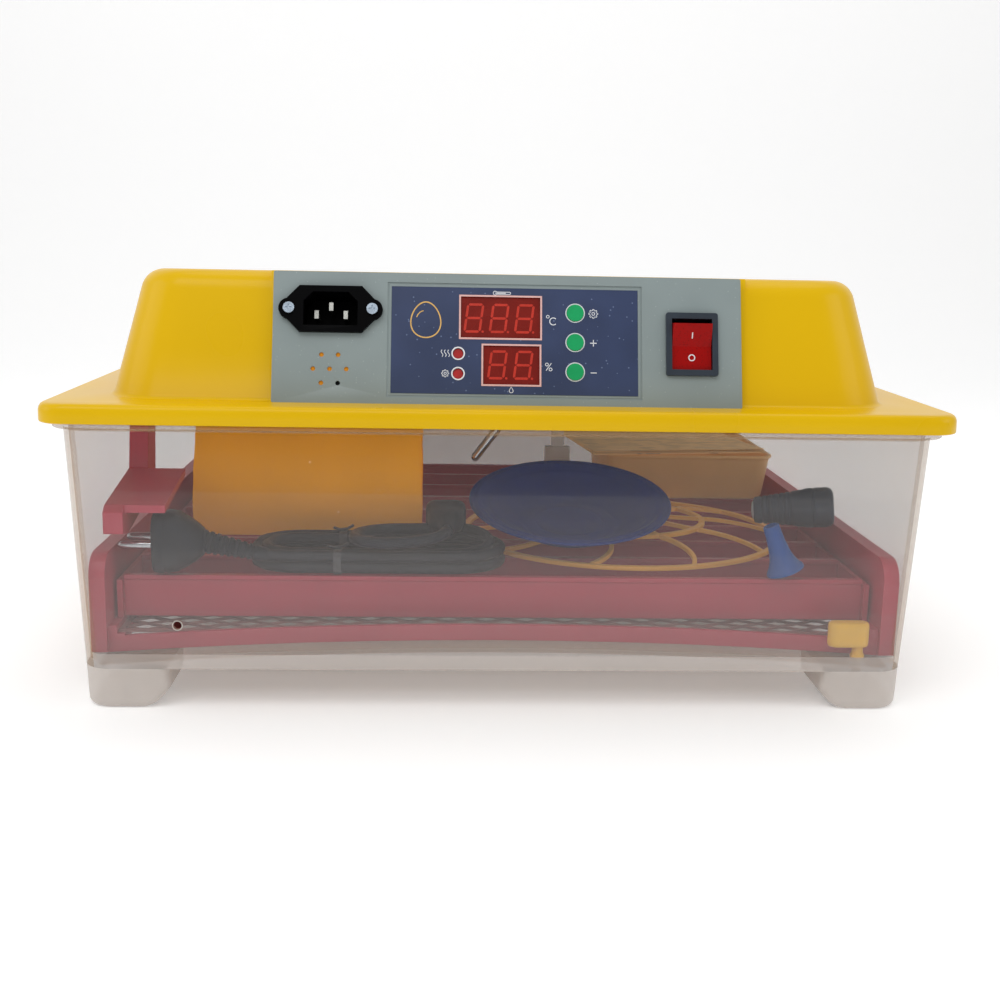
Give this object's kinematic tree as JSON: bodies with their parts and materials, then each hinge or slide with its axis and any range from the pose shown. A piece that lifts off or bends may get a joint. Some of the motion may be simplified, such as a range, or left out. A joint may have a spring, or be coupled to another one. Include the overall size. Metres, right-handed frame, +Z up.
{
  "type": "egg incubator",
  "caption": "Tabletop egg incubator: frosted tub with a sliding egg rack, lift-off yellow lid with controller, heater ring and fan, and stowed accessories.",
  "frame": {"origin": "centre of the footprint, on the surface that the feet stand on", "axes": "+X to the right seen from the control panel, +Y to the back, +Z up"},
  "size_m": [0.44, 0.466, 0.215],
  "materials": {
    "frosted_tub": "frosted translucent polypropylene",
    "red_frame": "moulded, satin",
    "red_rack": "moulded, satin",
    "grey_mesh": "coated expanded mesh",
    "motor_case": "zinc plated",
    "screw_steel": "zinc plated",
    "blue_dish": "moulded, satin",
    "orange_ring": "moulded, satin",
    "orange_mat": "soft, matt",
    "candler_black": "moulded, matt",
    "candler_blue": "soft, satin",
    "cream_tray": "moulded, satin",
    "paper": "matt paper",
    "lead_black": "satin cable sheath",
    "ochre_plug": "soft, satin",
    "shaft_steel": "ground",
    "white_plastic": "moulded, satin",
    "yellow_lid": "glossy polypropylene",
    "grey_panel": "fine spark texture",
    "navy_label": "printed polyester film",
    "inlet_black": "moulded, satin",
    "pin_brass": "tinned",
    "switch_dark": "moulded, satin",
    "display_red": "tinted red filter",
    "lamp_red": "tinted lens",
    "green_board": "solder mask",
    "buzzer_black": "moulded",
    "fan_black": "moulded, satin",
    "wire_steel": "plated wire",
    "heater_sheath": "oxidised steel",
    "ceramic": "glazed ceramic",
    "probe_steel": "polished stainless",
    "rocker_red": "tinted, dotted inside",
    "green_button": "satin"
  },
  "bodies": {
    "base": {"base_shell": "frosted_tub", "tray_frame": "red_frame", "mesh_floor": "grey_mesh", "turner_motor": "motor_case", "motor_screws": "screw_steel", "chick_dish": "blue_dish", "spoked_ring": "orange_ring", "rolled_mat": "orange_mat", "candler_body": "candler_black", "candler_cup": "candler_blue", "accessory_tray": "cream_tray", "booklet": "paper", "spare_rail": "red_frame", "lead_hank": "lead_black", "lead_plug": "lead_black", "lead_connector": "lead_black"},
    "drain_plug": {"drain_plug": "ochre_plug"},
    "egg_rack": {"divider_1": "red_rack", "divider_2": "red_rack", "divider_3": "red_rack", "divider_4": "red_rack", "divider_5": "red_rack", "divider_6": "red_rack", "divider_7": "red_rack", "divider_8": "red_rack", "divider_9": "red_rack", "slide_bar_left": "red_rack", "slide_bar_right": "red_rack", "yoke_plate": "red_rack"},
    "crank": {"motor_shaft": "shaft_steel", "crank_arm": "white_plastic"},
    "lid": {"lid_shell": "yellow_lid", "control_panel": "grey_panel", "display_overlay": "navy_label", "power_inlet": "inlet_black", "inlet_pins": "pin_brass", "inlet_screws": "screw_steel", "switch_frame": "switch_dark", "switch_terminals": "pin_brass", "temp_display": "display_red", "humidity_display": "display_red", "indicator_leds": "lamp_red", "control_board": "green_board", "buzzer": "buzzer_black", "power_board": "green_board", "inner_cover": "white_plastic", "cover_screws": "screw_steel", "fan_frame": "fan_black", "fan_guard": "wire_steel", "heater_coil": "heater_sheath", "heater_posts": "ceramic", "temp_probe": "probe_steel", "humidity_sensor": "white_plastic"},
    "switch_rocker": {"switch_rocker": "rocker_red"},
    "set_button": {"set_button": "green_button"},
    "plus_button": {"plus_button": "green_button"},
    "minus_button": {"minus_button": "green_button"},
    "fan_rotor": {"fan_rotor": "fan_black"}
  },
  "joints": [
    {"name": "lid_lift", "type": "slide", "parent": "base", "child": "lid", "axis": [0, 0, 1], "range_m": [0, 0.3]},
    {"name": "tray_slide", "type": "slide", "parent": "base", "child": "egg_rack", "axis": [0, 1, 0], "range_m": [-0.012, 0.012]},
    {"name": "crank_turn", "type": "hinge", "parent": "base", "child": "crank", "pos_m": [0.11, 0.181, 0.03], "axis": [0, 0, 1], "range_deg": [-90, 90]},
    {"name": "drain_plug_lift", "type": "slide", "parent": "base", "child": "drain_plug", "axis": [0, 0, 1], "range_m": [0, 0.03]},
    {"name": "switch_toggle", "type": "hinge", "parent": "lid", "child": "switch_rocker", "pos_m": [0.0914, -0.2008, 0.18195], "axis": [-1, 0, 0], "range_deg": [0, 24]},
    {"name": "set_press", "type": "slide", "parent": "lid", "child": "set_button", "axis": [0, 0.9537, -0.3007], "range_m": [0, 0.0006], "stiffness_N_per_m": 200},
    {"name": "plus_press", "type": "slide", "parent": "lid", "child": "plus_button", "axis": [0, 0.9537, -0.3007], "range_m": [0, 0.0006], "stiffness_N_per_m": 200},
    {"name": "minus_press", "type": "slide", "parent": "lid", "child": "minus_button", "axis": [0, 0.9537, -0.3007], "range_m": [0, 0.0006], "stiffness_N_per_m": 200},
    {"name": "fan_spin", "type": "hinge", "parent": "lid", "child": "fan_rotor", "pos_m": [0, 0.04, 0.13], "axis": [0, 0, 1], "continuous": true}
  ],
  "couplings": [
    {"joint": "crank_turn", "follows": "tray_slide", "rad_per_m": 130.8}
  ]
}
